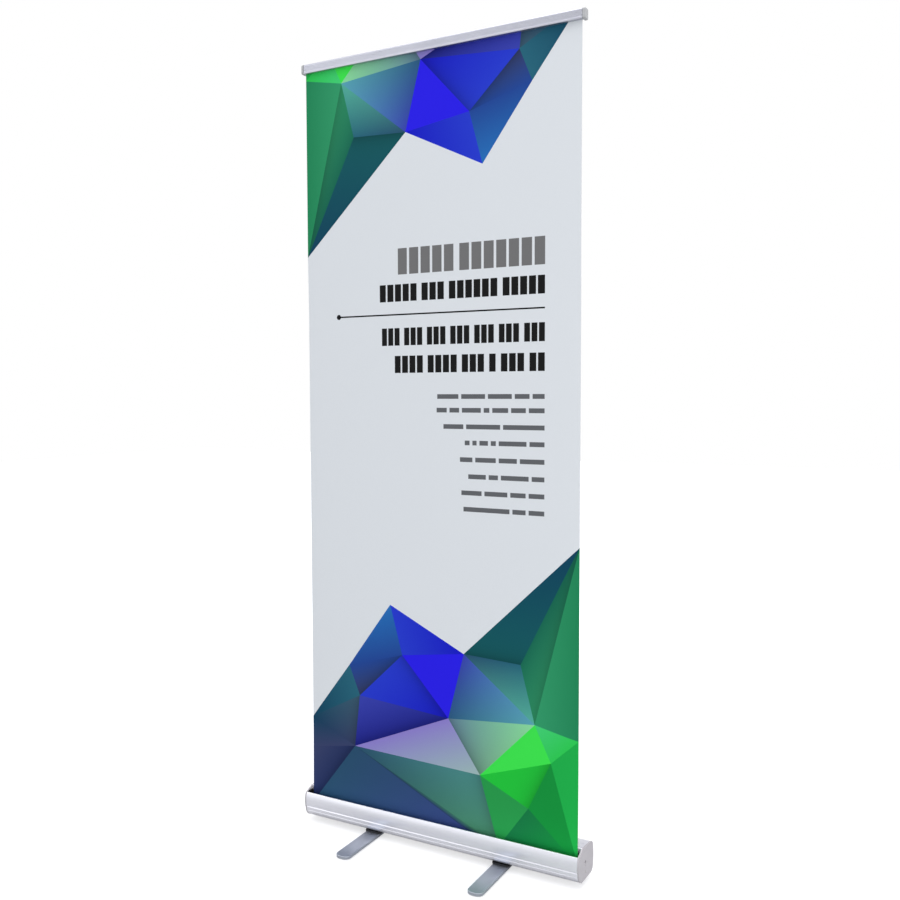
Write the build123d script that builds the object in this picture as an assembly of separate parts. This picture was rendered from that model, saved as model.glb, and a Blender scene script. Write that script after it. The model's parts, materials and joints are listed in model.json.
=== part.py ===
from build123d import *
import math
import os

# Roll-up banner stand, millimetres, +Z up, print facing -Y.
# Origin: on the floor, midway along the width, in the plane of the two foot pivots.
# Sections are drawn in (y, z) and run along X unless a comment says otherwise.

# ---- print ------------------------------------------------------------------------------
PRINT_WIDTH = 800.0
PRINT_HEIGHT = 2000.0          # print that shows between the cassette lip and the top rail
PRINT_THICKNESS = 0.4
PRINT_Y = -18.0                # plane of the hanging print
PRINT_IN_RAIL = 15.0           # how far the print goes up inside the rail's clamp

# ---- clearances -------------------------------------------------------------------------
RUNNING_CLEARANCE = 0.05       # radial, between pieces that turn on each other
HOLE_CLEARANCE = 0.1           # radial, round fixed shanks and moulded plugs
CLAMP_GAP = 0.05               # each side of the print in the rail

# ---- swivel feet ------------------------------------------------------------------------
FOOT_X = 194.0                 # pivot's distance from the middle
FOOT_LENGTH = 360.0
FOOT_WIDTH = 42.0
FOOT_THICKNESS = 8.0
FOOT_TIP_RADIUS = 16.0
FOOT_TOP_CHAMFER = 0.8
FOOT_UNDER_CHAMFER = 0.5
PAD_HEIGHT = 2.0               # rubber under the foot bars
PAD_RADIUS = 12.0
PAD_INSET = 24.0               # from the bar's tip to the pad's centre
SPACER_HEIGHT = 4.5            # black block between foot bar and cassette
SPACER_SIZE = (48.0, 60.0)
SPACER_CORNER = 6.0
PIVOT_RADIUS = 4.0
PIVOT_TOP = 27.0
BOLT_HEAD_RADIUS = 8.0
BOLT_HEAD_HEIGHT = 3.4
BOLT_KEY_RADIUS = 2.5
BOLT_KEY_DEPTH = 2.4
WASHER_RADIUS = 8.5
WASHER_HEIGHT = 1.6
NUT_RADIUS = 7.2               # across the corners of the hexagon
NUT_HEIGHT = 6.0

# ---- cassette ---------------------------------------------------------------------------
CASSETTE_BOTTOM = PAD_HEIGHT + FOOT_THICKNESS + SPACER_HEIGHT
CASSETTE_LENGTH = PRINT_WIDTH + 16.0
CASSETTE_WALL = 2.2
LIP_Z = 84.0                   # top of the front lip
FRONT_LIP_Y = -40.0
REAR_LIP_Y = -13.0
REAR_LIP_Z = 97.0
TOP_BACK = (45.0, 91.5)        # y, z where the top face ends and the back starts to round over
MOUTH_Y = (-37.6, -13.2)       # the slot that the print comes out of
MOUTH_FLANGE = (1.6, 82.0)     # thickness and lower edge of the return behind the mouth
LINER_Y = (-15.2, -13.3)       # front of the liner's top, and its back
LINER_Z = (69.0, 84.5)
PLUG_WALL = 2.4                # thickness of the black plug at each end of the mouth
PLUG_Z = (70.0, 87.0)
PLUG_GAP = 0.3                 # between a plug and what lies beside it
STEP_HEIGHT = 3.8
STEPS = ((-41.3, 46.8, 1.6), (-39.6, 34.8, 1.1))   # y, z, depth: panel to toe roll, and toe to underside
TOP_GROOVES = ((-4.5, 3.0), (20.0, 1.4))       # y and width of the grooves along the top face
TOP_GROOVE_DEPTH = 1.0
NUT_BAY_RADIUS = 12.0          # where the floor's screw channel is milled away over a pivot

# ---- end caps ---------------------------------------------------------------------------
END_CAP_THICKNESS = 4.0
END_CAP_OVERHANG = 0.5
END_CAP_RIM_DEPTH = 4.0
END_CAP_RIM_WALL = 1.6
RIM_GAPS = (                   # middle and size, in y and z, of the rim's gaps
    ((-25.0, 84.0), (36.0, 36.0)),                 # at the mouth
    ((-39.0, 46.0), (8.0, 12.0)),                  # at the rib behind the upper step
    ((4.0, CASSETTE_BOTTOM), (8.0, 40.0)),         # at the screw channel
)
HUB_RADIUS = 8.0
HUB_DEPTH = 3.0
CAP_SCREW = (4.0, 33.0)        # y, z of the screw low in each end cap
GATE_MARK = (3.5, 48.5)        # y, z of the dimple left by moulding
GATE_MARK_RADIUS = 1.6
GATE_MARK_DEPTH = 0.8
SCREW_RADIUS = 1.6
SCREW_HEAD_RADIUS = 2.9
SCREW_HEAD_HEIGHT = 1.3
SCREW_LENGTH = 14.0
SCREW_SLOT = (3.4, 0.7)
CHANNEL_RADIUS = 3.2           # ring of the screw channel on the cassette floor

# ---- spring roller ----------------------------------------------------------------------
ROLLER_Y = 4.0
ROLLER_Z = 57.0
TUBE_RADIUS = 16.0
TUBE_WALL = 1.2
TUBE_LENGTH = PRINT_WIDTH - 4.0
WRAP_RADIUS = 17.6             # the last turns of leader that stay on the tube
WRAP_LENGTH = PRINT_WIDTH - 6.0
PLUG_LENGTH = 24.0
SHAFT_RADIUS = 4.0
SHAFT_RECESS = 2.0             # how far a shaft's end sits below the cap's outer face
SHAFT_FLANGE_RADIUS = 6.4
IDLE_PIN_LENGTH = 34.0
SPRING_START = -TUBE_LENGTH / 2 + 31.0
SPRING_LENGTH = 210.0
SPRING_PITCH = 10.0
SPRING_RADIUS = 9.0
SPRING_WIRE = 1.1

# ---- top rail ---------------------------------------------------------------------------
RAIL_BOTTOM = LIP_Z + PRINT_HEIGHT
RAIL_HEIGHT = 25.0
RAIL_LENGTH = PRINT_WIDTH + 6.0
RAIL_WALL = 2.0
RAIL_FRONT_Y = -26.0
RAIL_REAR_Y = -7.0
RAIL_REAR_BOTTOM = RAIL_BOTTOM + 6.0
CHANNEL_TOP = RAIL_BOTTOM + 17.0
JAW_AXIS_Y = -16.5
JAW_AXIS_Z = RAIL_BOTTOM + 21.0
JAW_BEAD_RADIUS = 2.4
JAW_WALL = 2.2
JAW_LIP = 0.8                  # how far the lower lip stands forward of the face
JAW_END_GAP = 1.0
RAIL_CAP_THICKNESS = 7.0
RAIL_CAP_CORNER = 4.5
RAIL_CAP_CHAMFER = 1.2
RAIL_PEG_LENGTH = 10.0

# ---- pole -------------------------------------------------------------------------------
POLE_RADIUS = 6.25
POLE_WALL = 1.0
POLE_FOOT = (33.0, 45.0)       # y, z of the bottom of the socket
POLE_TOP = (4.0, RAIL_BOTTOM - 4.0)
POLE_SECTIONS = 3
POLE_END = 2.0                 # length of plug that shows below and above the tubes
FERRULE_LENGTH = 70.0
CORD_RADIUS = 1.5
KNOT_RADIUS = 2.9
KNOT_POCKET_RADIUS = 3.2
SOCKET_PLAY = 2.2              # room behind the pole, so that it can tip back off the rail
SOCKET_DEPTH = 53.5
SOCKET_WALL = 1.5
SOCKET_FLOOR = 2.5
FLANGE_SIZE = (52.0, 22.0)
FLANGE_CORNER = 6.0
FLANGE_THICKNESS = 2.5
FLANGE_Y = 33.4
SOCKET_SCREW_X = (-19.0, 19.0)
HOOK_HALF_WIDTH = 16.0
TONGUE_HALF_THICKNESS = 2.2

POLE_LEAN = math.degrees(math.atan2(POLE_FOOT[0] - POLE_TOP[0], POLE_TOP[1] - POLE_FOOT[1]))
POLE_LENGTH = math.hypot(POLE_FOOT[0] - POLE_TOP[0], POLE_TOP[1] - POLE_FOOT[1])
POLE_SECTION_LENGTH = (POLE_LENGTH - 2 * POLE_END) / POLE_SECTIONS
FERRULE_RADIUS = POLE_RADIUS - POLE_WALL - RUNNING_CLEARANCE
TOP_GRADE = (TOP_BACK[1] - REAR_LIP_Z) / (TOP_BACK[0] - REAR_LIP_Y)
OVERCUT = 10.0                 # how far a cutting tool runs past the face it cuts


# ---- helpers ----------------------------------------------------------------------------
def section(*edges):
    """A filled section from edges that meet end to end."""
    return make_face(Wire(edges).edges())


def outline(*points):
    """A filled section with straight sides."""
    return make_face(Polyline(*points, close=True).edges())


def along_x(face, start, end):
    """Extrude a section between two x positions, given in either order."""
    low, high = min(start, end), max(start, end)
    return extrude(Plane.YZ.offset(low) * face, amount=high - low)


def rod_x(radius, start, end, y=ROLLER_Y, z=ROLLER_Z):
    """A round bar that runs along X, on the roller's axis unless told otherwise."""
    return along_x(Pos(y, z) * Circle(radius), start, end)


def tube_x(outer, inner, start, end):
    """A round tube on the roller's axis."""
    return along_x(Pos(ROLLER_Y, ROLLER_Z) * (Circle(outer) - Circle(inner)), start, end)


def rod_z(radius, start, end, x=0.0, y=0.0):
    """A round bar that stands upright."""
    return Pos(x, y, start) * Cylinder(radius, end - start, align=(Align.CENTER, Align.CENTER, Align.MIN))


def in_pole_frame(shape):
    """Lean a shape drawn on an upright axis from the socket's floor as the pole leans."""
    return Pos(0, *POLE_FOOT) * Rot(POLE_LEAN, 0, 0) * shape


def top_z(y):
    """Height of the cassette's sloping top face."""
    return REAR_LIP_Z + (y - REAR_LIP_Y) * TOP_GRADE


def on_top(shape):
    """Set a shape drawn on a level face down on the sloping top, centred on the flange."""
    return Pos(0, FLANGE_Y, top_z(FLANGE_Y)) * Rot(math.degrees(math.atan(TOP_GRADE)), 0, 0) * shape


# ---- cassette ---------------------------------------------------------------------------
def cassette_outline():
    """Closed outer outline: bowed front over a toe roll, flat floor, back and top that lean in."""
    front_lip = (FRONT_LIP_Y, LIP_Z)
    waist = (-40.8, 42.0)
    floor_front = (-21.0, CASSETTE_BOTTOM)
    floor_back = (42.0, CASSETTE_BOTTOM)
    heel = (57.5, 32.0)
    shoulder = (57.0, 76.0)
    rear_lip = (REAR_LIP_Y, REAR_LIP_Z)
    return section(
        ThreePointArc(front_lip, (-44.0, 65.0), waist),
        ThreePointArc(waist, (-35.4, 25.5), floor_front),
        Line(floor_front, floor_back),
        TangentArc(floor_back, heel, tangent=(1, 0)),
        ThreePointArc(heel, (59.6, 52.0), shoulder),
        ThreePointArc(shoulder, (53.4, 87.2), TOP_BACK),
        Line(TOP_BACK, rear_lip),
        Line(rear_lip, front_lip),
    )


def screw_channel():
    """Web and ring on the cassette floor that the end cap screws bite into."""
    y, z = CAP_SCREW
    foot = CASSETTE_BOTTOM + CASSETTE_WALL / 2
    web = outline((y - 1, foot), (y + 1, foot), (y + 1, z - 2), (y - 1, z - 2))
    return Pos(y, z) * Circle(CHANNEL_RADIUS) + web - Pos(y, z) * Circle(SCREW_RADIUS + RUNNING_CLEARANCE)


def front_step(y, z, depth):
    """What is cut away below a sharp edge at (y, z): level at the top, then sloping out to the skin again."""
    foot = z - STEP_HEIGHT
    return outline((y + depth, z), (y - OVERCUT, z), (y - OVERCUT, foot), (y, foot))


def cassette_section():
    skin = cassette_outline()
    mouth_low, mouth_high = LIP_Z - OVERCUT, REAR_LIP_Z + OVERCUT
    mouth = outline(
        (MOUTH_Y[0], mouth_low), (MOUTH_Y[1], mouth_low), (MOUTH_Y[1], mouth_high), (MOUTH_Y[0], mouth_high)
    )
    front_bead = Pos(FRONT_LIP_Y + 1.5, LIP_Z - 1.2) * Circle(1.9)
    rear_bead_z = REAR_LIP_Z - 1.3
    rear_bead = Pos(REAR_LIP_Y + 1.2, rear_bead_z) * Circle(1.7)
    flange_wall, flange_foot = MOUTH_FLANGE
    flange = outline(
        (MOUTH_Y[1], flange_foot), (MOUTH_Y[1] + flange_wall, flange_foot),
        (MOUTH_Y[1] + flange_wall, rear_bead_z), (MOUTH_Y[1], rear_bead_z),
    )
    step_rib = outline((-41.0, 50.0), (-37.6, 50.0), (-37.6, 41.0), (-39.5, 41.0))
    shape = skin - offset(skin, amount=-CASSETTE_WALL) - mouth
    shape += front_bead + rear_bead + flange + step_rib + screw_channel()
    for step in STEPS:
        shape -= front_step(*step)
    for y, width in TOP_GROOVES:
        shape -= Pos(y, top_z(y)) * Rectangle(width, 2 * TOP_GROOVE_DEPTH)
    return shape


def cassette():
    """The aluminium housing, with its holes for the foot pivots and the pole socket."""
    body = along_x(cassette_section(), -CASSETTE_LENGTH / 2, CASSETTE_LENGTH / 2)
    floor = CASSETTE_BOTTOM + CASSETTE_WALL
    for x in (-FOOT_X, FOOT_X):
        body -= rod_z(PIVOT_RADIUS + HOLE_CLEARANCE, 0, floor + OVERCUT, x=x)
        body -= rod_z(NUT_BAY_RADIUS, floor, CAP_SCREW[1] + OVERCUT, x=x)
    body -= in_pole_frame(Pos(0, 0, SOCKET_DEPTH - 20) * extrude(socket_slot(SOCKET_WALL + 0.5), amount=40))
    for x in SOCKET_SCREW_X:
        body -= socket_screw_hole(x)
    return body


def end_cap(side):
    """Flat moulded plate with a shallow rim and a hub that enter the cassette."""
    inner = side * CASSETTE_LENGTH / 2
    outer = inner + side * END_CAP_THICKNESS
    hub_end = inner - side * HUB_DEPTH
    rim_outer = offset(cassette_outline(), amount=-CASSETTE_WALL - 0.15)
    rim = rim_outer - offset(rim_outer, amount=-END_CAP_RIM_WALL)
    for middle, size in RIM_GAPS:
        rim -= Pos(*middle) * Rectangle(*size)
    cap = along_x(offset(cassette_outline(), amount=END_CAP_OVERHANG), inner, outer)
    cap += along_x(rim, inner, inner - side * END_CAP_RIM_DEPTH)
    cap += rod_x(HUB_RADIUS, inner, hub_end)
    cap -= rod_x(SHAFT_RADIUS + RUNNING_CLEARANCE, hub_end - side, outer + side)
    cap -= rod_x(SCREW_RADIUS + HOLE_CLEARANCE, inner - side, outer + side, *CAP_SCREW)
    cap -= rod_x(SCREW_HEAD_RADIUS + 0.2, outer - side * (SCREW_HEAD_HEIGHT + 0.1), outer + side, *CAP_SCREW)
    return cap - rod_x(GATE_MARK_RADIUS, outer - side * GATE_MARK_DEPTH, outer + side, *GATE_MARK)


def end_cap_screw(side):
    """Round-headed screw with a cross recess, level with the cap's face."""
    face = side * (CASSETTE_LENGTH / 2 + END_CAP_THICKNESS)
    neck = face - side * SCREW_HEAD_HEIGHT
    screw = rod_x(SCREW_HEAD_RADIUS, face, neck, *CAP_SCREW)
    screw += rod_x(SCREW_RADIUS, neck, neck - side * SCREW_LENGTH, *CAP_SCREW)
    for angle in (0, 90):
        cut = Pos(*CAP_SCREW) * Rot(0, 0, angle) * Rectangle(*SCREW_SLOT)
        screw -= along_x(cut, face - side * SCREW_HEAD_HEIGHT / 2, face + side)
    return screw


def slot_liner():
    """Black strip that the print runs over, set in front of the return behind the mouth."""
    half = CASSETTE_LENGTH / 2 - PLUG_WALL - 2 * PLUG_GAP
    (front, back), (low, high) = LINER_Y, LINER_Z
    return along_x(outline((front + 0.5, low), (back, low), (back, high), (front, high)), -half, half)


def mouth_plug(side):
    """Black block that closes one end of the mouth, next to the end cap."""
    face = side * (CASSETTE_LENGTH / 2 - PLUG_GAP)
    front, back = MOUTH_Y[0] + 1.2, LINER_Y[1]
    low, high = PLUG_Z
    profile = outline((front, low), (back, low), (back, high), (front + 5.0, high), (front, LIP_Z + 0.4))
    return along_x(profile, face, face - side * PLUG_WALL)


# ---- spring roller ----------------------------------------------------------------------
def spring_shaft():
    """Fixed shaft in the left end cap, with the flange that the spring's end hooks onto."""
    cap_face = -CASSETTE_LENGTH / 2 - END_CAP_THICKNESS
    shaft = rod_x(SHAFT_RADIUS, cap_face + SHAFT_RECESS, SPRING_START + SPRING_LENGTH + PLUG_LENGTH + 6)
    return shaft + rod_x(SHAFT_FLANGE_RADIUS, SPRING_START - 5, SPRING_START - 2)


def torsion_spring():
    path = Helix(pitch=SPRING_PITCH, height=SPRING_LENGTH, radius=SPRING_RADIUS)
    coil = sweep(Plane(origin=path @ 0, z_dir=path % 0) * Circle(SPRING_WIRE), path=path)
    return Pos(SPRING_START, ROLLER_Y, ROLLER_Z) * Rot(0, 90, 0) * coil


def roller_plug(start):
    """Plastic plug pressed into the roller tube, bored to turn on a shaft."""
    return tube_x(TUBE_RADIUS - TUBE_WALL, SHAFT_RADIUS + RUNNING_CLEARANCE, start, start + PLUG_LENGTH)


def idle_pin():
    """Short pin in the right end cap that the roller's free end turns on."""
    end = CASSETTE_LENGTH / 2 + END_CAP_THICKNESS - SHAFT_RECESS
    return rod_x(SHAFT_RADIUS, end - IDLE_PIN_LENGTH, end)


def roller_tube():
    return tube_x(TUBE_RADIUS, TUBE_RADIUS - TUBE_WALL, -TUBE_LENGTH / 2, TUBE_LENGTH / 2)


def leader_wrap():
    """The turns of leader film that stay on the tube, with the print taped to the last."""
    return tube_x(WRAP_RADIUS, TUBE_RADIUS, -WRAP_LENGTH / 2, WRAP_LENGTH / 2)


# ---- swivel feet ------------------------------------------------------------------------
def bolt_cone(extra):
    """The countersunk head's shape, or with some extra size the recess that takes it."""
    cone = Cone(BOLT_HEAD_RADIUS + extra, PIVOT_RADIUS + extra, BOLT_HEAD_HEIGHT + extra,
                align=(Align.CENTER, Align.CENTER, Align.MIN))
    return Pos(0, 0, PAD_HEIGHT) * cone


def foot_bar(x):
    """Flat bar with rounded tips, eased edges and a countersunk pivot hole."""
    bar = extrude(RectangleRounded(FOOT_WIDTH, FOOT_LENGTH, FOOT_TIP_RADIUS), amount=FOOT_THICKNESS)
    bar = chamfer(bar.edges().group_by(Axis.Z)[-1], FOOT_TOP_CHAMFER)
    bar = chamfer(bar.edges().group_by(Axis.Z)[0], FOOT_UNDER_CHAMFER)
    bar = Pos(0, 0, PAD_HEIGHT) * bar
    bar -= rod_z(PIVOT_RADIUS + RUNNING_CLEARANCE, 0, CASSETTE_BOTTOM)
    return Pos(x, 0, 0) * (bar - bolt_cone(0.3))


def foot_pads(x):
    """The rubber pads under one bar's two tips."""
    reach = FOOT_LENGTH / 2 - PAD_INSET
    disc = rod_z(PAD_RADIUS, 0, PAD_HEIGHT)
    pad = chamfer(disc.edges().group_by(Axis.Z)[0], FOOT_UNDER_CHAMFER)
    return [Pos(x, y, 0) * pad for y in (-reach, reach)]


def foot_spacer(x):
    """Moulded block fixed under the cassette, that the foot bar swings against."""
    base = CASSETTE_BOTTOM - SPACER_HEIGHT + RUNNING_CLEARANCE
    block = extrude(RectangleRounded(*SPACER_SIZE, SPACER_CORNER), amount=CASSETTE_BOTTOM - base)
    return Pos(x, 0, base) * (block - rod_z(PIVOT_RADIUS + HOLE_CLEARANCE, -1, OVERCUT))


def pivot_bolt(x):
    """Countersunk bolt up through the foot bar, the spacer and the cassette floor."""
    bolt = bolt_cone(0) + rod_z(PIVOT_RADIUS, PAD_HEIGHT, PIVOT_TOP)
    key = Pos(0, 0, PAD_HEIGHT) * extrude(RegularPolygon(BOLT_KEY_RADIUS, 6), amount=BOLT_KEY_DEPTH)
    return Pos(x, 0, HOLE_CLEARANCE) * (bolt - key)


def pivot_washer(x):
    floor = CASSETTE_BOTTOM + CASSETTE_WALL
    disc = rod_z(WASHER_RADIUS, floor, floor + WASHER_HEIGHT)
    return Pos(x, 0, 0) * (disc - rod_z(PIVOT_RADIUS + HOLE_CLEARANCE, 0, PIVOT_TOP + OVERCUT))


def pivot_nut(x):
    seat = CASSETTE_BOTTOM + CASSETTE_WALL + WASHER_HEIGHT
    nut = Pos(0, 0, seat) * extrude(RegularPolygon(NUT_RADIUS, 6), amount=NUT_HEIGHT)
    return Pos(x, 0, 0) * (nut - rod_z(PIVOT_RADIUS + RUNNING_CLEARANCE, 0, PIVOT_TOP + OVERCUT))


# ---- pole -------------------------------------------------------------------------------
def socket_slot(extra):
    """The pole's outline grown by some extra radius and stretched back by the play."""
    return Pos(0, SOCKET_PLAY / 2) * SlotCenterToCenter(SOCKET_PLAY, 2 * (POLE_RADIUS + extra), rotation=90)


def socket_screw_hole(x):
    return on_top(rod_z(SCREW_RADIUS + RUNNING_CLEARANCE, -OVERCUT, OVERCUT, x=x))


def pole_socket():
    """Moulded cup that hangs in the cassette's top from a flange held by two screws."""
    cup = Pos(0, 0, -SOCKET_FLOOR) * extrude(socket_slot(SOCKET_WALL + HOLE_CLEARANCE), amount=SOCKET_DEPTH)
    bore = extrude(socket_slot(HOLE_CLEARANCE), amount=SOCKET_DEPTH + 2 * OVERCUT)
    flange = extrude(RectangleRounded(*FLANGE_SIZE, FLANGE_CORNER), amount=FLANGE_THICKNESS)
    socket = in_pole_frame(cup) + on_top(Pos(0, 0, RUNNING_CLEARANCE) * flange) - in_pole_frame(bore)
    for x in SOCKET_SCREW_X:
        socket -= socket_screw_hole(x)
    return socket


def socket_screw(x):
    """Round-headed screw with a straight slot."""
    seat = FLANGE_THICKNESS + HOLE_CLEARANCE
    screw = rod_z(SCREW_HEAD_RADIUS, seat, seat + 2, x=x) + rod_z(SCREW_RADIUS, seat - 8, seat, x=x)
    return on_top(screw - Pos(x, 0, seat + 1) * extrude(Rectangle(6.0, 0.8), amount=OVERCUT))


def pole_section(index):
    """One of the pole's equal tubes, counted from the bottom."""
    ring = Circle(POLE_RADIUS) - Circle(POLE_RADIUS - POLE_WALL)
    start = POLE_END + index * POLE_SECTION_LENGTH
    return in_pole_frame(Pos(0, 0, start) * extrude(ring, amount=POLE_SECTION_LENGTH))


def pole_ferrule(index):
    """Inner sleeve that joins one tube to the next."""
    ring = Circle(FERRULE_RADIUS) - Circle(FERRULE_RADIUS - POLE_WALL)
    joint = POLE_END + (index + 1) * POLE_SECTION_LENGTH
    return in_pole_frame(Pos(0, 0, joint - FERRULE_LENGTH / 2) * extrude(ring, amount=FERRULE_LENGTH))


def pole_foot_plug():
    """Plug in the pole's lower end, with a pocket for the cord's knot."""
    plug = rod_z(POLE_RADIUS, 0.4, POLE_END) + rod_z(FERRULE_RADIUS, POLE_END, 22)
    plug -= rod_z(CORD_RADIUS + HOLE_CLEARANCE, 0, 30)
    return in_pole_frame(plug - rod_z(KNOT_POCKET_RADIUS, 0, 8))


def shock_cord():
    """Elastic cord through the whole pole, knotted at both ends."""
    top = POLE_LENGTH + 3
    cord = rod_z(CORD_RADIUS, 4, top)
    for knot in (4.5, top):
        cord += Pos(0, 0, knot) * Sphere(KNOT_RADIUS)
    return in_pole_frame(cord)


def pole_hook():
    """Moulded head: a plug in the top tube and a forked tongue that holds up the rail."""
    plug_end = POLE_LENGTH - POLE_END
    plug = rod_z(FERRULE_RADIUS, plug_end - 22, plug_end)
    plug += rod_z(POLE_RADIUS + 0.6, plug_end, POLE_LENGTH + 8)
    bore = rod_z(CORD_RADIUS + HOLE_CLEARANCE, plug_end - 30, POLE_LENGTH)
    pocket = rod_z(KNOT_POCKET_RADIUS, POLE_LENGTH - 0.5, POLE_LENGTH + OVERCUT)
    middle = (PRINT_Y + RAIL_WALL + RAIL_REAR_Y - RAIL_WALL) / 2 + 0.05
    front, back = middle - TONGUE_HALF_THICKNESS, middle + TONGUE_HALF_THICKNESS
    low, high, tip = RAIL_BOTTOM - 5, RAIL_BOTTOM + 2, CHANNEL_TOP - RAIL_WALL - 0.5
    profile = outline(
        (front, low), (POLE_TOP[0], low), (POLE_TOP[0], high), (back, high),
        (back, tip - 1.5), (back - 1, tip), (front + 1, tip), (front, tip - 1.5),
    )
    fork = along_x(profile, -HOOK_HALF_WIDTH, HOOK_HALF_WIDTH)
    fork -= Pos(0, middle, tip) * Box(12, 20, 24)
    return in_pole_frame(plug) + fork - in_pole_frame(bore + pocket)


# ---- top rail ---------------------------------------------------------------------------
def rail_back():
    """Rear extrusion: clamp plate, hinge bead on top, and the channel the tongue enters."""
    front = PRINT_Y + PRINT_THICKNESS / 2 + CLAMP_GAP
    back = front + RAIL_WALL
    neck = front + 0.6
    profile = outline(
        (front, RAIL_BOTTOM + 0.5), (back, RAIL_BOTTOM + 0.5), (back, CHANNEL_TOP - RAIL_WALL),
        (RAIL_REAR_Y - RAIL_WALL, CHANNEL_TOP - RAIL_WALL), (RAIL_REAR_Y - RAIL_WALL, RAIL_REAR_BOTTOM),
        (RAIL_REAR_Y, RAIL_REAR_BOTTOM), (RAIL_REAR_Y, CHANNEL_TOP), (back, CHANNEL_TOP), (back, JAW_AXIS_Z),
        (neck, JAW_AXIS_Z), (neck, CHANNEL_TOP), (front, CHANNEL_TOP),
    )
    bead = Pos(JAW_AXIS_Y, JAW_AXIS_Z) * Circle(JAW_BEAD_RADIUS)
    return along_x(profile + bead, -RAIL_LENGTH / 2, RAIL_LENGTH / 2)


def jaw_section():
    """Front flap: rolls over the bead, hangs in front of the print and grips it below."""
    top = RAIL_BOTTOM + RAIL_HEIGHT
    grip = PRINT_Y - PRINT_THICKNESS / 2 - CLAMP_GAP
    inside = RAIL_FRONT_Y + JAW_WALL
    lip_front = RAIL_FRONT_Y - JAW_LIP
    lip_top = RAIL_BOTTOM + 4.2
    curl_end = (JAW_AXIS_Y + 3.2, JAW_AXIS_Z + 1.5)
    curl_top = (JAW_AXIS_Y, top)
    edge_back = (RAIL_FRONT_Y + 3.5, top)
    edge_front = (RAIL_FRONT_Y, top - 3.5)
    face_foot = (RAIL_FRONT_Y, lip_top + JAW_LIP)
    lip_foot = (lip_front, RAIL_BOTTOM + 1.0)
    toe = (RAIL_FRONT_Y + 0.2, RAIL_BOTTOM)
    shape = section(
        ThreePointArc(curl_end, (JAW_AXIS_Y + 2.2, JAW_AXIS_Z + 3.1), curl_top),
        Line(curl_top, edge_back),
        ThreePointArc(edge_back, (RAIL_FRONT_Y + 1.0, top - 1.0), edge_front),
        Line(edge_front, face_foot),
        Line(face_foot, (lip_front, lip_top)),
        Line((lip_front, lip_top), lip_foot),
        ThreePointArc(lip_foot, (RAIL_FRONT_Y - 0.5, RAIL_BOTTOM + 0.3), toe),
        Line(toe, (grip, RAIL_BOTTOM)),
        Line((grip, RAIL_BOTTOM), (grip, RAIL_BOTTOM + 3.5)),
        Line((grip, RAIL_BOTTOM + 3.5), (inside, RAIL_BOTTOM + 5.0)),
        Line((inside, RAIL_BOTTOM + 5.0), (inside, JAW_AXIS_Z)),
        Line((inside, JAW_AXIS_Z), (JAW_AXIS_Y, JAW_AXIS_Z)),
        Line((JAW_AXIS_Y, JAW_AXIS_Z), curl_end),
    )
    return shape - Pos(JAW_AXIS_Y, JAW_AXIS_Z) * Circle(JAW_BEAD_RADIUS + RUNNING_CLEARANCE)


def rail_jaw():
    half = RAIL_LENGTH / 2 - JAW_END_GAP
    shape = jaw_section()
    for step in range(4):
        shape -= Pos(RAIL_FRONT_Y, RAIL_BOTTOM + 8.5 + 3.2 * step) * Rectangle(0.6, 0.7)
    return along_x(shape, -half, half)


def rail_cap(side):
    """Moulded end cap: rounded plate and a peg that plugs the tongue channel."""
    inner = side * RAIL_LENGTH / 2
    outer = inner + side * RAIL_CAP_THICKNESS
    size = (RAIL_REAR_Y - RAIL_FRONT_Y + 2 * JAW_LIP, RAIL_HEIGHT + 0.6)
    middle = Pos((RAIL_FRONT_Y + RAIL_REAR_Y) / 2, RAIL_BOTTOM + RAIL_HEIGHT / 2)
    cap = along_x(middle * RectangleRounded(*size, RAIL_CAP_CORNER), inner, outer)
    rim = cap.faces().sort_by(Axis.X)[-1 if side > 0 else 0].edges()
    cap = chamfer(rim, RAIL_CAP_CHAMFER)
    peg_y = (-15.0, RAIL_REAR_Y - RAIL_WALL - HOLE_CLEARANCE)
    peg_z = (RAIL_REAR_BOTTOM + 2, CHANNEL_TOP - RAIL_WALL - HOLE_CLEARANCE)
    peg = outline((peg_y[0], peg_z[0]), (peg_y[1], peg_z[0]), (peg_y[1], peg_z[1]), (peg_y[0], peg_z[1]))
    return cap + along_x(peg, inner, inner - side * RAIL_PEG_LENGTH)


# ---- print ------------------------------------------------------------------------------
def banner():
    """The hanging print, from the roller up into the rail's clamp."""
    half = PRINT_THICKNESS / 2
    tail_y = ROLLER_Y - WRAP_RADIUS - half - HOLE_CLEARANCE
    top = RAIL_BOTTOM + PRINT_IN_RAIL
    sheet = outline(
        (tail_y - half, ROLLER_Z), (tail_y + half, ROLLER_Z), (PRINT_Y + half, LIP_Z), (PRINT_Y + half, top),
        (PRINT_Y - half, top), (PRINT_Y - half, LIP_Z),
    )
    return along_x(sheet, -PRINT_WIDTH / 2, PRINT_WIDTH / 2)


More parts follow.
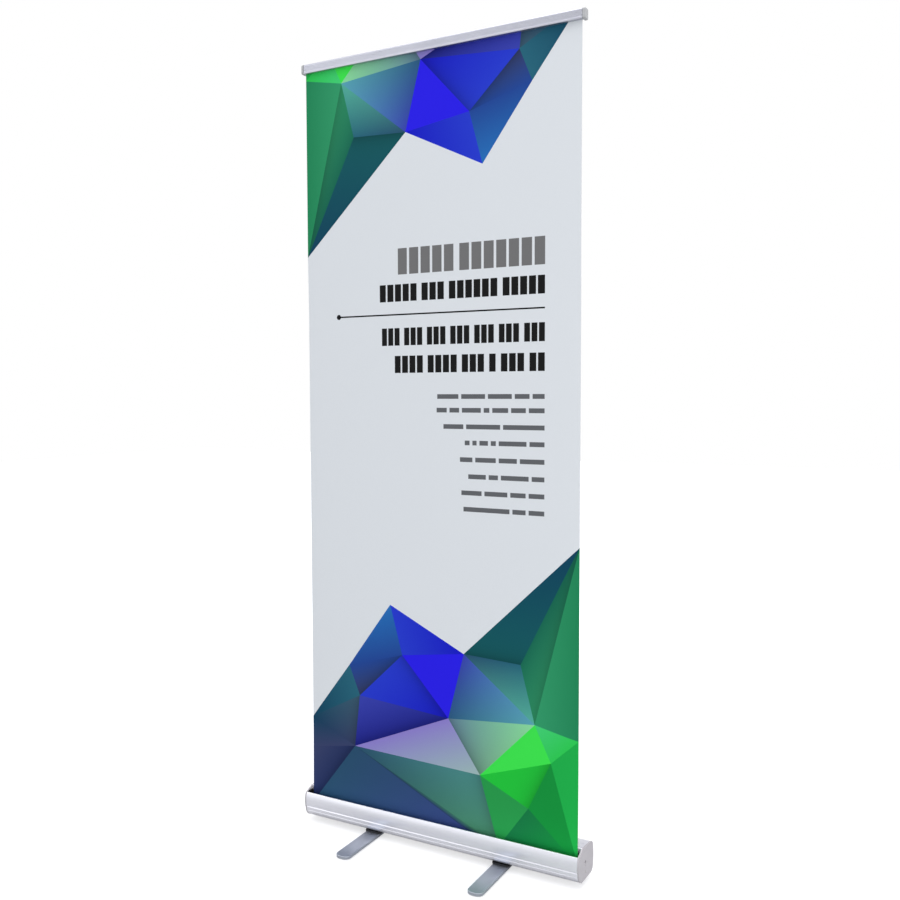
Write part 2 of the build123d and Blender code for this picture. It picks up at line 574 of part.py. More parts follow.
# ---- every node -------------------------------------------------------------------------
NODES = {
    "cassette": [cassette()],
    "left_end_cap": [end_cap(-1)],
    "right_end_cap": [end_cap(1)],
    "end_cap_screws": [end_cap_screw(-1), end_cap_screw(1)],
    "slot_liner": [slot_liner()],
    "mouth_plugs": [mouth_plug(-1), mouth_plug(1)],
    "spring_shaft": [spring_shaft()],
    "torsion_spring": [torsion_spring()],
    "spring_plug": [roller_plug(SPRING_START + SPRING_LENGTH + 2)],
    "drive_end_bush": [roller_plug(-TUBE_LENGTH / 2)],
    "idle_end_plug": [roller_plug(TUBE_LENGTH / 2 - PLUG_LENGTH)],
    "idle_pin": [idle_pin()],
    "roller_tube": [roller_tube()],
    "leader_wrap": [leader_wrap()],
    "banner": [banner()],
    "left_foot_bar": [foot_bar(-FOOT_X)],
    "right_foot_bar": [foot_bar(FOOT_X)],
    "left_foot_pads": foot_pads(-FOOT_X),
    "right_foot_pads": foot_pads(FOOT_X),
    "foot_spacers": [foot_spacer(x) for x in (-FOOT_X, FOOT_X)],
    "pivot_bolts": [pivot_bolt(x) for x in (-FOOT_X, FOOT_X)],
    "pivot_washers": [pivot_washer(x) for x in (-FOOT_X, FOOT_X)],
    "pivot_nuts": [pivot_nut(x) for x in (-FOOT_X, FOOT_X)],
    "pole_socket": [pole_socket()],
    "socket_screws": [socket_screw(x) for x in SOCKET_SCREW_X],
    "pole_lower": [pole_section(0)],
    "pole_middle": [pole_section(1)],
    "pole_upper": [pole_section(2)],
    "pole_ferrules": [pole_ferrule(index) for index in range(POLE_SECTIONS - 1)],
    "pole_foot_plug": [pole_foot_plug()],
    "shock_cord": [shock_cord()],
    "pole_hook": [pole_hook()],
    "rail_back": [rail_back()],
    "rail_jaw": [rail_jaw()],
    "left_rail_cap": [rail_cap(-1)],
    "right_rail_cap": [rail_cap(1)],
}

os.makedirs("parts", exist_ok=True)
for name, pieces in NODES.items():
    group = Compound([solid for piece in pieces for solid in piece.solids()])
    export_step(group, f"parts/{name}.step")
    print(name, len(group.solids()), [round(size, 1) for size in group.bounding_box().size])
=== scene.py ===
import json
import math

import bpy
import numpy as np
from mathutils import Matrix, Vector
from mathutils.geometry import delaunay_2d_cdt


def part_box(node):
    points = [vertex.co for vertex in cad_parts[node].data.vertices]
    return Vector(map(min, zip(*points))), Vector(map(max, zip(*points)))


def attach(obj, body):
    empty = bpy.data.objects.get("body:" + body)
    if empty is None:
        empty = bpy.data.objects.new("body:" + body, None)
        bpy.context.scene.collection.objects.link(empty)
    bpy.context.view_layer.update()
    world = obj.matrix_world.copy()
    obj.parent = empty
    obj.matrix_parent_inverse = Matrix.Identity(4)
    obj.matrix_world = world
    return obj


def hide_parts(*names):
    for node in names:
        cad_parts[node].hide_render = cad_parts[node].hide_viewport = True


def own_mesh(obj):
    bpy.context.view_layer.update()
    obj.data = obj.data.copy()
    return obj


# Looks of the roll-up banner stand: the printed film as a detailed mesh, and a procedural material for every
# part. Metres, +Z up, front towards -Y. The artwork is laid out in millimetres: x runs across the sheet from
# its middle, and t runs up it from the cassette's lip.

MM = 0.001
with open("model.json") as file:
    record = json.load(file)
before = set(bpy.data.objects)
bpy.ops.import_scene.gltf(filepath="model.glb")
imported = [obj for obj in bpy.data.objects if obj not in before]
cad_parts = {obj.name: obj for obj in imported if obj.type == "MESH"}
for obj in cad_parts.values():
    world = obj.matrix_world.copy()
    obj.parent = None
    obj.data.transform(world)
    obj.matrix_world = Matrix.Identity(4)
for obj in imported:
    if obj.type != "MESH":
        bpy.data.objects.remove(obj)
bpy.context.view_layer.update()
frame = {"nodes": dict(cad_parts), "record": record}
nodes = frame["nodes"]

# ---- sizes taken from the frame ---------------------------------------------------------
SHEET_LOW, SHEET_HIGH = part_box("banner")
RAIL_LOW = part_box("rail_jaw")[0]
HALF_WIDTH = (SHEET_HIGH.x - SHEET_LOW.x) / 2
HALF_FILM = 0.0002
PRINT_Y = SHEET_LOW.y + HALF_FILM              # plane of the hanging print
TAIL_Y = SHEET_HIGH.y - HALF_FILM              # where the film leaves the roller
VISIBLE_HEIGHT = 2.0
LIP_Z = RAIL_LOW.z - VISIBLE_HEIGHT
SHEET_T = ((SHEET_LOW.z - LIP_Z) / MM, (SHEET_HIGH.z - LIP_Z) / MM)
HALF_X = HALF_WIDTH / MM

# ---- how the film hangs -----------------------------------------------------------------
FLAT_FROM = 1500.0                  # above this t the film ends up in the rail's clamp once it is wound in
FREE_RUN = 160.0                    # how far the film takes to leave its plane
CURL_WIDTH, CURL_DEPTH, CURL_POWER = 45.0, 2.2, 2.5
WAVE_DEPTH, WAVE_ACROSS, WAVE_UP, WAVE_PHASE = 0.35, 130.0, 410.0, 0.6

# ---- artwork ----------------------------------------------------------------------------
INKS = {
    "paper": (216, 220, 223), "grey": (112, 112, 112), "black": (26, 26, 26), "small": (96, 98, 101),
    "navy": (36, 50, 95), "slate": (55, 64, 101), "dusk": (62, 94, 114), "petrol": (14, 62, 88),
    "sea": (39, 98, 117), "denim": (34, 69, 144), "azure": (38, 108, 178), "cobalt": (38, 58, 198),
    "royal": (21, 23, 188), "electric": (40, 30, 224), "indigo": (32, 37, 138), "iris": (56, 65, 168),
    "lilac": (135, 122, 196), "mist": (152, 180, 176), "haze": (98, 128, 152), "mint": (134, 214, 152),
    "sage": (112, 158, 133), "sky": (86, 160, 174), "lagoon": (82, 170, 150), "marine": (42, 86, 122),
    "pine": (20, 88, 92), "forest": (24, 104, 80), "jade": (50, 150, 102), "emerald": (33, 130, 84),
    "leaf": (44, 196, 80), "spring": (66, 204, 116), "lime": (60, 222, 76), "grass": (33, 190, 58),
    "clover": (30, 170, 72), "moss": (19, 141, 58), "holly": (21, 116, 65), "fern": (38, 148, 72),
    "kelp": (70, 134, 98), "verdigris": (74, 138, 132), "gulf": (40, 76, 104), "dusk_blue": (52, 64, 124),
}

# Corners of the folded-paper motif, and its facets: corners, one ink per corner, edge with a fold shadow.
CORNERS = {
    "a": (-400, 216), "b": (-139, 563), "c": (84, 457), "d": (400, 757), "e": (-102, 430), "f": (-239, 300),
    "g": (38, 280), "h": (-256, 155), "i": (131, 146), "j": (284, 303), "k": (245, 450), "l": (328, 213),
    "m": (267, 86), "n": (400, 280), "o": (400, -30), "p": (-273, 381), "q": (-400, -30), "r": (-400, 129),
    "s": (184, -30), "t": (142, -30),
}
FACETS = [
    ("bce", ("cobalt", "royal", "cobalt"), ""), ("ecg", ("electric", "electric", "electric"), ""),
    ("egf", ("cobalt", "royal", "cobalt"), "eg"), ("bep", ("azure", "denim", "denim"), ""),
    ("pef", ("denim", "denim", "slate"), "ef"), ("pfa", ("sea", "sea", "petrol"), ""),
    ("afh", ("petrol", "dusk", "slate"), "fh"), ("ahr", ("petrol", "slate", "slate"), ""),
    ("rhq", ("slate", "navy", "navy"), "hq"), ("fgh", ("iris", "indigo", "indigo"), "gh"),
    ("hgi", ("lilac", "lilac", "mist"), ""), ("gij", ("haze", "sage", "mint"), "gi"),
    ("cgj", ("iris", "marine", "sky"), ""), ("cjk", ("gulf", "lagoon", "sea"), ""),
    ("ckd", ("pine", "pine", "petrol"), "ck"), ("kjd", ("forest", "jade", "forest"), "jd"),
    ("jnd", ("jade", "emerald", "emerald"), ""), ("jnl", ("spring", "leaf", "leaf"), ""),
    ("jli", ("lime", "lime", "lime"), ""), ("ilm", ("grass", "grass", "grass"), "lm"),
    ("nlo", ("clover", "clover", "clover"), ""), ("lmo", ("moss", "moss", "moss"), ""),
    ("ims", ("fern", "fern", "fern"), ""), ("mos", ("holly", "moss", "holly"), ""),
    ("his", ("gulf", "verdigris", "kelp"), "is"), ("hst", ("gulf", "kelp", "dusk_blue"), "ht"),
    ("htq", ("gulf", "dusk_blue", "gulf"), ""),
]
FOLD_SHADOW = (0.38, 20.0)          # depth, and reach in millimetres
LIP_PAINTED_LIGHT = (0.35, 45.0)             # painted light: the inks are made lighter next to the cassette, to cancel the shade of its slot: amount, and reach
TOP_SHIFT = 262.0                   # how far the motif that is turned round at the top runs off the sheet

TEXT_RIGHT = 308.0
BLOCK_ROWS = [                      # bottom t, height, pitch of the blocks, blocks in each word, ink
    (1441, 68, 34.5, (5, 7), "grey"),
    (1371, 45, 23.6, (5, 3, 6, 5), "black"),
    (1256, 46, 19.6, (3, 3, 3, 3, 3, 3, 3), "black"),
    (1184, 45, 22.5, (4, 4, 3, 1, 3, 2), "black"),
]
BAR_ROWS = [                        # middle t, widths of the words
    (1122, (62, 68, 66, 40, 32)), (1087, (30, 28, 54, 16, 44, 40, 42)), (1045, (58, 96, 112)),
    (1004, (14, 12, 24, 14, 76, 40)), (961, (36, 58, 50, 66)), (918, (50, 26, 76, 34)),
    (876, (58, 64, 42, 42)), (834, (130, 36, 42)),
]
RULE = (-298, 1337, 4.0)            # left end, t, thickness
DOT_RADIUS, DOT_SIDES = 7.0, 20
WORD_SPACE = 10.0
BLOCK_GAP = 0.2                     # share of a block's pitch that stays blank
BAR_HALF_HEIGHT, BAR_SPACE = 6, 8
GRID_STEP = 12.5                    # how finely the sheet is divided


def linear(rgb):
    """Scene-linear colour of an sRGB one given in 0-255."""
    value = np.array(rgb, float) / 255
    return np.where(value <= 0.04045, value / 12.92, ((value + 0.055) / 1.055) ** 2.4)


def rectangle(x0, t0, x1, t1):
    return [(x0, t0), (x1, t0), (x1, t1), (x0, t1)]


def counterclockwise(shape):
    turns = zip(shape, shape[1:] + shape[:1])
    return shape if sum(x0 * t1 - x1 * t0 for (x0, t0), (x1, t1) in turns) > 0 else shape[::-1]


def divided(shape, step):
    """The same outline with extra points along its long sides."""
    points = []
    for (x0, t0), (x1, t1) in zip(shape, shape[1:] + shape[:1]):
        parts = max(1, math.ceil(math.hypot(x1 - x0, t1 - t0) / step))
        points += [(x0 + (x1 - x0) * k / parts, t0 + (t1 - t0) * k / parts) for k in range(parts)]
    return points


def text_shapes():
    """The copy as plain blocks, bars and one dotted rule: (outline, ink)."""
    shapes = []
    for low, height, pitch, words, ink in BLOCK_ROWS:
        right = TEXT_RIGHT
        for count in reversed(words):
            for _ in range(count):
                left = right - pitch + BLOCK_GAP * pitch
                shapes.append((rectangle(left, low, right, low + height), ink))
                right -= pitch
            right -= WORD_SPACE
    for middle, words in BAR_ROWS:
        right = TEXT_RIGHT
        for width in reversed(words):
            low, high = middle - BAR_HALF_HEIGHT, middle + BAR_HALF_HEIGHT
            shapes.append((rectangle(right - width, low, right, high), "small"))
            right -= width + BAR_SPACE
    left, t, thick = RULE
    shapes.append((rectangle(left, t - thick / 2, TEXT_RIGHT, t + thick / 2), "black"))
    turns = [2 * math.pi * k / DOT_SIDES for k in range(DOT_SIDES)]
    dot = [(left + DOT_RADIUS * math.cos(a), t + DOT_RADIUS * math.sin(a)) for a in turns]
    shapes.append((dot, "black"))
    return shapes


def motif(turned):
    """The motif's facets as (triangle, colours, shadow edge), at the sheet's foot or turned at its top."""
    def place(corner):
        x, t = CORNERS[corner]
        return (-x, 1e3 * VISIBLE_HEIGHT + TOP_SHIFT - t) if turned else (x, t)
    facets = []
    for corners, inks, fold in FACETS:
        triangle = [place(c) for c in corners]
        facets.append((triangle, [linear(INKS[ink]) for ink in inks], [place(c) for c in fold]))
    return facets


def facet_colour(point, facet):
    """Ink at a point of a facet: a blend of its corners, darker next to a folded edge, and lightened with
    painted light next to the cassette.
    """
    (ax, at), (bx, bt), (cx, ct) = facet[0]
    area = (bx - ax) * (ct - at) - (cx - ax) * (bt - at)
    u = ((bx - point[0]) * (ct - point[1]) - (cx - point[0]) * (bt - point[1])) / area
    v = ((cx - point[0]) * (at - point[1]) - (ax - point[0]) * (ct - point[1])) / area
    colour = u * facet[1][0] + v * facet[1][1] + (1 - u - v) * facet[1][2]
    if facet[2]:
        (x0, t0), (x1, t1) = facet[2]
        away = abs((x1 - x0) * (point[1] - t0) - (t1 - t0) * (point[0] - x0)) / math.hypot(x1 - x0, t1 - t0)
        depth, reach = FOLD_SHADOW
        colour = colour * (1 - depth * math.exp(-away / reach))
    # painted light: lighter ink near the lip, in place of the light that the cassette's slot shades off
    amount, reach = LIP_PAINTED_LIGHT
    return np.clip(colour * (1 + amount * math.exp(-abs(point[1]) / reach)), 0, 1)


def triangulate_art():
    """Every outline cut into one mesh: points (x, t), triangles, and a colour for each triangle's corner."""
    low, high = SHEET_T
    facets = motif(False) + motif(True)
    text = text_shapes()
    outlines = [rectangle(-HALF_X, low, HALF_X, high)] + [f[0] for f in facets] + [t[0] for t in text]
    points, faces = [], []
    for shape in outlines:
        shape = divided(counterclockwise(shape), GRID_STEP)
        faces.append(list(range(len(points), len(points) + len(shape))))
        points += [Vector(p) for p in shape]
    for t in np.arange(low + GRID_STEP / 2, high, GRID_STEP):
        for x in np.arange(-HALF_X + GRID_STEP / 2, HALF_X, GRID_STEP):
            points.append(Vector((x, t)))
    coords, _, triangles, _, _, owners = delaunay_2d_cdt(points, [], faces, 0, 1e-4)
    kept, colours = [], []
    for triangle, owner in zip(triangles, owners):
        if 0 not in owner:
            continue
        top = max(owner)
        kept.append(triangle)
        if top == 0:
            colours.append([linear(INKS["paper"])] * 3)
        elif top <= len(facets):
            colours.append([facet_colour(coords[v], facets[top - 1]) for v in triangle])
        else:
            colours.append([linear(INKS[text[top - 1 - len(facets)][1]])] * 3)
    used = sorted({v for triangle in kept for v in triangle})
    number = {v: k for k, v in enumerate(used)}
    return [coords[v] for v in used], [[number[v] for v in t] for t in kept], colours


def film_y(x, t):
    """Where the film hangs: flat, with slightly curled long edges, and bent to the roller below the lip."""
    low = SHEET_T[0]
    if t < 0:
        share = t / low
        return PRINT_Y + (TAIL_Y - PRINT_Y) * share * share * (3 - 2 * share)
    free = min(1.0, t / FREE_RUN, max(0.0, (FLAT_FROM - t) / FREE_RUN))
    edge = max(0.0, (abs(x) - HALF_X + CURL_WIDTH) / CURL_WIDTH)
    wave = WAVE_DEPTH * math.sin(x / WAVE_ACROSS + WAVE_PHASE) * math.sin(t / WAVE_UP)
    return PRINT_Y + MM * free * (CURL_DEPTH * edge ** CURL_POWER + wave)


def make_banner():
    """The printed film as one closed sheet with its artwork in a colour layer."""
    coords, triangles, colours = triangulate_art()
    count = len(coords)
    middle = [Vector((c.x * MM, film_y(c.x, c.y), LIP_Z + c.y * MM)) for c in coords]
    front = [v - Vector((0, HALF_FILM, 0)) for v in middle]
    back = [v + Vector((0, HALF_FILM, 0)) for v in middle]
    sides = {}
    for a, b, c in triangles:
        for edge in ((a, b), (b, c), (c, a)):
            if (edge[1], edge[0]) in sides:
                del sides[(edge[1], edge[0])]
            else:
                sides[edge] = True
    behind = [[c + count, b + count, a + count] for a, b, c in triangles]
    walls = [[b, a, a + count, b + count] for a, b in sides]
    mesh = bpy.data.meshes.new("banner_print")
    mesh.from_pydata(front + back, [], triangles + behind + walls)
    mesh.materials.append(None)
    mesh.materials.append(None)
    ink = mesh.color_attributes.new("Ink", "FLOAT_COLOR", "CORNER")
    shades = np.ones((len(mesh.loops), 4), np.float32)
    shades[:, :3] = linear(INKS["paper"])
    shades[: 3 * len(triangles), :3] = np.array(colours, np.float32).reshape(-1, 3)
    ink.data.foreach_set("color", shades.ravel())
    for polygon in mesh.polygons[len(triangles):]:
        polygon.material_index = 1
    banner = bpy.data.objects.new("banner_print", mesh)
    bpy.context.scene.collection.objects.link(banner)
    return banner


def smooth_by_angle(obj, degrees):
    """Smooth shading that keeps edges sharper than the given angle, without touching a single vertex."""
    mesh = obj.data
    size = len(mesh.vertices)
    places = np.empty(size * 3)
    mesh.vertices.foreach_get("co", places)
    _, weld = np.unique(np.round(places.reshape(-1, 3), 6), axis=0, return_inverse=True)
    around = {}
    for polygon in mesh.polygons:
        for v in polygon.vertices:
            around.setdefault(int(weld.ravel()[v]), []).append((polygon.normal.copy(), polygon.area))
    limit = math.cos(math.radians(degrees))
    normals = []
    for polygon in mesh.polygons:
        for v in polygon.vertices:
            total = Vector()
            for normal, area in around[int(weld.ravel()[v])]:
                if normal.dot(polygon.normal) > limit:
                    total += normal * area
            normals.append(total.normalized() if total.length > 1e-12 else polygon.normal.copy())
    mesh.polygons.foreach_set("use_smooth", [True] * len(mesh.polygons))
    mesh.normals_split_custom_set(normals)


# ---- materials --------------------------------------------------------------------------
DRAWN_LINES, DRAWN_LENGTH, BROAD_BANDS = 900.0, 4.0, 90.0       # how often drawn metal changes, per metre
BROKEN_EDGE = 0.0005                # radius to which edges are broken
FILM_SMOOTHING, PART_SMOOTHING = 40, 28                         # degrees


class Shader:
    """A material with one principled surface, whose nodes are added and joined one at a time."""

    def __init__(self, name):
        self.material = bpy.data.materials.new(name)
        self.material.use_nodes = True
        self.tree = self.material.node_tree
        self.tree.nodes.clear()
        self.surface = self.add("ShaderNodeBsdfPrincipled")
        output = self.add("ShaderNodeOutputMaterial")
        self.tree.links.new(self.surface.outputs[0], output.inputs["Surface"])
        self.place = self.add("ShaderNodeTexCoord").outputs["Object"]

    def add(self, kind, **settings):
        node = self.tree.nodes.new(kind)
        for key, value in settings.items():
            setattr(node, key, value)
        return node

    def put(self, node, **inputs):
        """Sets a node's inputs by name, to a value or to another node's output."""
        for key, value in inputs.items():
            socket = node.inputs[key.replace("_", " ")]
            if isinstance(value, bpy.types.NodeSocket):
                self.tree.links.new(value, socket)
            else:
                socket.default_value = value
        return node

    def stretched(self, scale):
        mapping = self.add("ShaderNodeMapping")
        self.put(mapping, Vector=self.place, Scale=scale)
        return mapping.outputs[0]

    def noise(self, scale, detail=3.0, roughness=0.55):
        node = self.add("ShaderNodeTexNoise")
        self.put(node, Vector=self.stretched(scale), Scale=1.0, Detail=detail, Roughness=roughness)
        return node.outputs[0]

    def ranged(self, value, low, high, start=0.3, end=0.7):
        node = self.add("ShaderNodeMapRange")
        names = ("Value", "From Min", "From Max", "To Min", "To Max")
        for name, setting in zip(names, (value, start, end, low, high)):
            self.put(node, **{name.replace(" ", "_"): setting})
        return node.outputs[0]

    def mixed(self, factor, first, second, blend="MIX"):
        node = self.add("ShaderNodeMix", data_type="RGBA", blend_type=blend)
        for index, value in ((0, factor), (6, first), (7, second)):
            if isinstance(value, bpy.types.NodeSocket):
                self.tree.links.new(value, node.inputs[index])
            else:
                node.inputs[index].default_value = value
        return node.outputs[2]

    def bump(self, height, strength, distance, normal=None):
        node = self.add("ShaderNodeBump")
        self.put(node, Height=height, Strength=strength, Distance=distance)
        if normal is not None:
            self.put(node, Normal=normal)
        return node.outputs[0]

    def soft_edges(self, radius):
        node = self.add("ShaderNodeBevel", samples=4)
        self.put(node, Radius=radius)
        return node.outputs[0]


def shade(colour, factor=1.0):
    """A colour made lighter or darker, with its alpha."""
    return tuple(min(1.0, c * factor) for c in colour) + (1.0,)


def metal(name, colour, roughness, along=None, metallic=0.95, grain=0.03):
    """Satin metal: drawing lines along one axis, cloudy wear in the roughness, softly broken edges."""
    s = Shader(name)
    scale = [DRAWN_LINES] * 3
    if along is not None:
        scale[along] = DRAWN_LENGTH
    lines = s.noise(scale, detail=2.0)
    clouds = s.noise((14.0, 14.0, 14.0), detail=5.0)
    bands = s.noise([min(number, BROAD_BANDS) for number in scale], detail=1.0)
    tone = s.mixed(s.ranged(lines, 0.0, 1.0), shade(colour, 1 - grain), shade(colour, 1 + grain))
    tone = s.mixed(s.ranged(bands, 0.0, 0.35), tone, shade(colour, 1 - 1.4 * grain))
    s.put(s.surface, Base_Color=tone, Metallic=metallic, Anisotropic=0.35 if along is not None else 0.0,
          Roughness=s.ranged(clouds, roughness - 0.04, roughness + 0.05),
          Normal=s.bump(lines, 0.12, 0.00004, s.soft_edges(BROKEN_EDGE)))
    return s.material


def plastic(name, colour, roughness, grain_size=0.0006, depth=0.35, sheen=0.0):
    """Moulded plastic: fine spark-eroded grain, slight flow marks, softly broken edges."""
    s = Shader(name)
    grain = s.noise((1 / grain_size,) * 3, detail=2.0)
    flow = s.noise((22.0, 7.0, 22.0), detail=3.0)
    tone = s.mixed(s.ranged(flow, 0.0, 1.0), shade(colour, 0.95), shade(colour, 1.05))
    s.put(s.surface, Base_Color=tone, Roughness=s.ranged(grain, roughness - 0.06, roughness + 0.08),
          Sheen_Weight=sheen, Normal=s.bump(grain, depth, 0.00005, s.soft_edges(BROKEN_EDGE)))
    return s.material


def plated(name, colour, roughness):
    """Zinc plate or spring wire: fine crystal patches over a cloudy base."""
    s = Shader(name)
    cells = s.add("ShaderNodeTexVoronoi")
    s.put(cells, Vector=s.stretched((700.0, 700.0, 700.0)), Scale=1.0)
    clouds = s.noise((60.0, 60.0, 60.0), detail=4.0)
    patches = s.ranged(cells.outputs["Distance"], 0.0, 1.0, 0.0, 0.9)
    tone = s.mixed(patches, shade(colour, 0.86), shade(colour, 1.08))
    s.put(s.surface, Base_Color=tone, Metallic=1.0, Normal=s.soft_edges(0.0003),
          Roughness=s.ranged(clouds, roughness - 0.06, roughness + 0.08))
    return s.material


def printed_film():
    """Printed side of the film: the artwork's ink with a fine ink grain and a semi-matt laminate over it."""
    s = Shader("print_film")
    ink = s.add("ShaderNodeAttribute", attribute_name="Ink").outputs["Color"]
    grain = s.noise((1600.0, 1600.0, 1600.0), detail=2.0)
    handling = s.noise((5.0, 5.0, 2.5), detail=4.0)
    tone = s.mixed(s.ranged(grain, 0.0, 1.0), ink, (0.93, 0.93, 0.93, 1.0), "MULTIPLY")
    s.put(s.surface, Base_Color=tone, Roughness=s.ranged(handling, 0.46, 0.56), Specular_IOR_Level=0.05,
          Normal=s.bump(grain, 0.10, 0.00003))
    return s.material


def film_back():
    """Unprinted side: grey-white blockout coat with a faint matt texture."""
    s = Shader("film_back")
    grain = s.noise((900.0, 900.0, 900.0), detail=3.0)
    clouds = s.noise((6.0, 6.0, 3.0), detail=3.0)
    tone = s.mixed(s.ranged(clouds, 0.0, 1.0), (0.56, 0.57, 0.59, 1.0), (0.62, 0.63, 0.65, 1.0))
    s.put(s.surface, Base_Color=tone, Roughness=0.62, Normal=s.bump(grain, 0.18, 0.00004))
    return s.material


def braid():
    """Elastic cord: two families of diagonal strands."""
    s = Shader("cord")
    waves = []
    for slant in (1.0, -1.0):
        node = s.add("ShaderNodeTexWave", wave_type="BANDS", bands_direction="DIAGONAL")
        s.put(node, Vector=s.stretched((slant * 500.0, 500.0, 320.0)), Scale=1.0, Distortion=0.4)
        waves.append(node.outputs["Color"])
    weave = s.mixed(0.5, waves[0], waves[1], "LIGHTEN")
    tone = s.mixed(weave, (0.012, 0.012, 0.014, 1.0), (0.09, 0.09, 0.10, 1.0))
    s.put(s.surface, Base_Color=tone, Roughness=0.85, Sheen_Weight=0.4, Normal=s.bump(weave, 0.6, 0.0003))
    return s.material


SILVER = (0.945, 0.945, 1.0)
LOOKS = {
    "anodised_silver": metal("anodised_silver", SILVER, 0.34, along=0, grain=0.015),
    # painted shade: the rail is the same anodised aluminium as the cassette, with a darker base colour so it
    # renders darker than the cassette
    "rail_silver": metal("rail_silver", (0.54, 0.545, 0.60), 0.36, along=0, grain=0.02),
    "foot_aluminium": metal("foot_aluminium", (0.485, 0.515, 0.575), 0.38, along=1, grain=0.05),
    "tube_aluminium": metal("tube_aluminium", (0.76, 0.77, 0.79), 0.34, along=2, grain=0.012),
    "cap_plastic": plastic("cap_plastic", (0.49, 0.47, 0.49), 0.46),
    "rail_cap_plastic": plastic("rail_cap_plastic", (0.42, 0.425, 0.43), 0.38),
    "black_plastic": plastic("black_plastic", (0.012, 0.012, 0.014), 0.42),
    "zinc_steel": plated("zinc_steel", (0.66, 0.66, 0.64), 0.32),
    "dark_steel": plated("dark_steel", (0.10, 0.10, 0.11), 0.40),
    "rubber": plastic("rubber", (0.018, 0.018, 0.018), 0.78, grain_size=0.0009, depth=0.6, sheen=0.25),
    "leader_film": plastic("leader_film", (0.78, 0.79, 0.80), 0.25, grain_size=0.002, depth=0.1),
    "cord": braid(),
    "print_film": printed_film(),
}

# ---- the print --------------------------------------------------------------------------
banner = make_banner()
banner.data.materials[0] = LOOKS["print_film"]
banner.data.materials[1] = film_back()
smooth_by_angle(banner, FILM_SMOOTHING)
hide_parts("banner")
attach(banner, "base")
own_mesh(banner)

# ---- the CAD parts ----------------------------------------------------------------------
for part in frame["record"]["subparts"]:
    node = nodes[part["node"]]
    node.data.materials.clear()
    node.data.materials.append(LOOKS[part["material_slot"]])
    node.data.polygons.foreach_set("material_index", [0] * len(node.data.polygons))
    smooth_by_angle(node, PART_SMOOTHING)


# ---- studio -----------------------------------------------------------------------------
WHITE = (1.0, 1.0, 1.0)
SOFTBOXES = (                       # name, place, aimed at, size, power, colour
    ("top", (0.2, -0.2, 4.8), (0.0, -0.2, 0.0), (3.4, 3.4), 66.0, WHITE),
    ("front", (2.4, -3.4, 1.2), (0.0, 0.0, 0.7), (2.0, 1.8), 31.0, (0.98, 0.985, 1.0)),
    ("back", (0.8, 3.0, 2.6), (0.0, 0.0, 1.0), (2.6, 1.6), 8.0, WHITE),
)
SKY = ((0.0, 0.84), (0.49, 0.96), (0.56, 1.44), (0.72, 1.48), (1.0, 1.15))     # height, brightness
SKY_TINT = (0.975, 0.985, 1.02)
DARK_CARDS = (                      # where the world is dimmed: towards what, and how the light falls off
    ((0.12, -0.93, 0.36), (0.84, 0.95, 1.0, 0.25)),
    ((0.0, 1.0, 0.0), (0.1, 0.7, 1.0, 0.44)),
)
FLOOR_REACH = 14.0
FLOOR_TONES = ((0.50, 0.50, 0.505, 1.0), (0.54, 0.54, 0.54, 1.0))
FLOOR_GLOW = (0.58, 1.0, 0.6, 3.0)  # to the camera: near, far, and the two distances between which it grows
UNSEEN_GLOW = 0.03                  # for everything but the camera


def aim(obj, target, roll=0.0):
    direction = Vector(target) - obj.location
    turn = Matrix.Rotation(roll, 4, "Z").to_quaternion()
    obj.rotation_mode = "QUATERNION"
    obj.rotation_quaternion = direction.to_track_quat("-Z", "Y") @ turn


def softbox(name, location, target, size, power, colour):
    light = bpy.data.lights.new(name, "AREA")
    light.shape = "RECTANGLE"
    light.size, light.size_y = size
    light.energy = power
    light.color = colour
    lamp = bpy.data.objects.new(name, light)
    bpy.context.scene.collection.objects.link(lamp)
    lamp.location = location
    aim(lamp, target)


def make_floor():
    """Pale, slightly uneven paper floor."""
    mesh = bpy.data.meshes.new("floor")
    corners = [(x * FLOOR_REACH, y * FLOOR_REACH, 0) for x, y in ((-1, -1), (1, -1), (1, 1), (-1, 1))]
    mesh.from_pydata(corners, [], [(0, 1, 2, 3)])
    floor = bpy.data.objects.new("floor", mesh)
    bpy.context.scene.collection.objects.link(floor)
    s = Shader("floor_paper")
    patches = s.noise((1.5, 1.5, 1.5), detail=2.0)
    tone = s.mixed(s.ranged(patches, 0.0, 1.0), *FLOOR_TONES)
    distance = s.add("ShaderNodeVectorMath", operation="LENGTH")
    s.put(distance, Vector=s.place)
    seen = s.add("ShaderNodeLightPath").outputs["Is Camera Ray"]
    glow = s.ranged(seen, UNSEEN_GLOW, s.ranged(distance.outputs["Value"], *FLOOR_GLOW), 0.0, 1.0)
    s.put(s.surface, Base_Color=tone, Roughness=0.9, Specular_IOR_Level=0.1,
          Emission_Color=(1.0, 1.0, 1.0, 1.0), Emission_Strength=glow)
    mesh.materials.append(s.material)
    return floor


def sky_colour(tree, direction):
    """Colour of the studio by height: darker below eye level than above it."""
    split = tree.nodes.new("ShaderNodeSeparateXYZ")
    tree.links.new(direction, split.inputs[0])
    height = tree.nodes.new("ShaderNodeMapRange")
    height.inputs["From Min"].default_value = -1.0
    tree.links.new(split.outputs["Z"], height.inputs["Value"])
    ramp = tree.nodes.new("ShaderNodeValToRGB")
    ramp.color_ramp.interpolation = "EASE"
    while len(ramp.color_ramp.elements) < len(SKY):
        ramp.color_ramp.elements.new(0.5)
    for element, (position, level) in zip(ramp.color_ramp.elements, SKY):
        element.position = position
        element.color = tuple(level * part for part in SKY_TINT) + (1.0,)
    tree.links.new(height.outputs[0], ramp.inputs[0])
    return ramp.outputs[0]


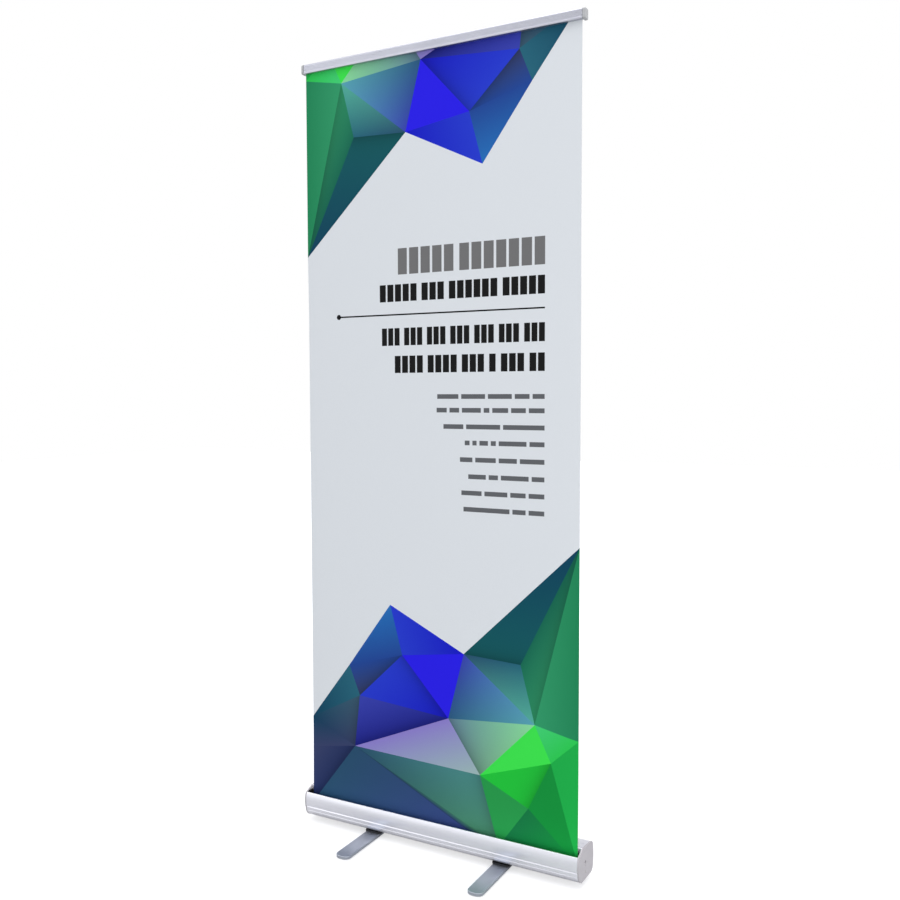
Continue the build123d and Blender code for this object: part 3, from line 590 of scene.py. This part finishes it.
def sky_strength(tree, direction):
    """How much of that light is left where the dark cards stand."""
    strength = tree.nodes.new("ShaderNodeMath")
    strength.operation = "MULTIPLY"
    for index, (way, fade) in enumerate(DARK_CARDS):
        toward = tree.nodes.new("ShaderNodeVectorMath")
        toward.operation = "DOT_PRODUCT"
        toward.inputs[1].default_value = way
        tree.links.new(direction, toward.inputs[0])
        card = tree.nodes.new("ShaderNodeMapRange")
        tree.links.new(toward.outputs["Value"], card.inputs["Value"])
        for name, setting in zip(("From Min", "From Max", "To Min", "To Max"), fade):
            card.inputs[name].default_value = setting
        tree.links.new(card.outputs[0], strength.inputs[index])
    return strength.outputs[0]


def make_world():
    """White to the camera, and a studio to everything else."""
    world = bpy.data.worlds.new("studio")
    bpy.context.scene.world = world
    world.use_nodes = True
    tree = world.node_tree
    tree.nodes.clear()
    node, link = tree.nodes.new, tree.links.new
    direction = node("ShaderNodeTexCoord").outputs["Generated"]
    studio = node("ShaderNodeBackground")
    link(sky_colour(tree, direction), studio.inputs["Color"])
    link(sky_strength(tree, direction), studio.inputs["Strength"])
    white = node("ShaderNodeBackground")
    white.inputs["Color"].default_value = WHITE + (1.0,)
    mix = node("ShaderNodeMixShader")
    link(node("ShaderNodeLightPath").outputs["Is Camera Ray"], mix.inputs[0])
    link(studio.outputs[0], mix.inputs[1])
    link(white.outputs[0], mix.inputs[2])
    output = node("ShaderNodeOutputWorld")
    link(mix.outputs[0], output.inputs["Surface"])


make_world()
make_floor()
for settings in SOFTBOXES:
    softbox(*settings)

# ---- camera -----------------------------------------------------------------------------
CAMERA_PLACE = (1.2211, -2.1765, 1.2128)
CAMERA_SENSOR, CAMERA_LENS = 36.0, 38.28        # millimetres
CAMERA_AZIMUTH, CAMERA_DIP, CAMERA_ROLL = (math.radians(a) for a in (28.58, 3.357, -0.132))
camera = bpy.data.objects.new("camera", bpy.data.cameras.new("camera"))
bpy.context.scene.collection.objects.link(camera)
camera.data.sensor_width = CAMERA_SENSOR
camera.data.lens = CAMERA_LENS
camera.location = CAMERA_PLACE
ahead = Vector((
    -math.sin(CAMERA_AZIMUTH) * math.cos(CAMERA_DIP),
    math.cos(CAMERA_AZIMUTH) * math.cos(CAMERA_DIP),
    -math.sin(CAMERA_DIP),
))
aim(camera, camera.location + ahead, CAMERA_ROLL)
bpy.context.scene.camera = camera
bpy.context.scene.view_settings.view_transform = "Standard"
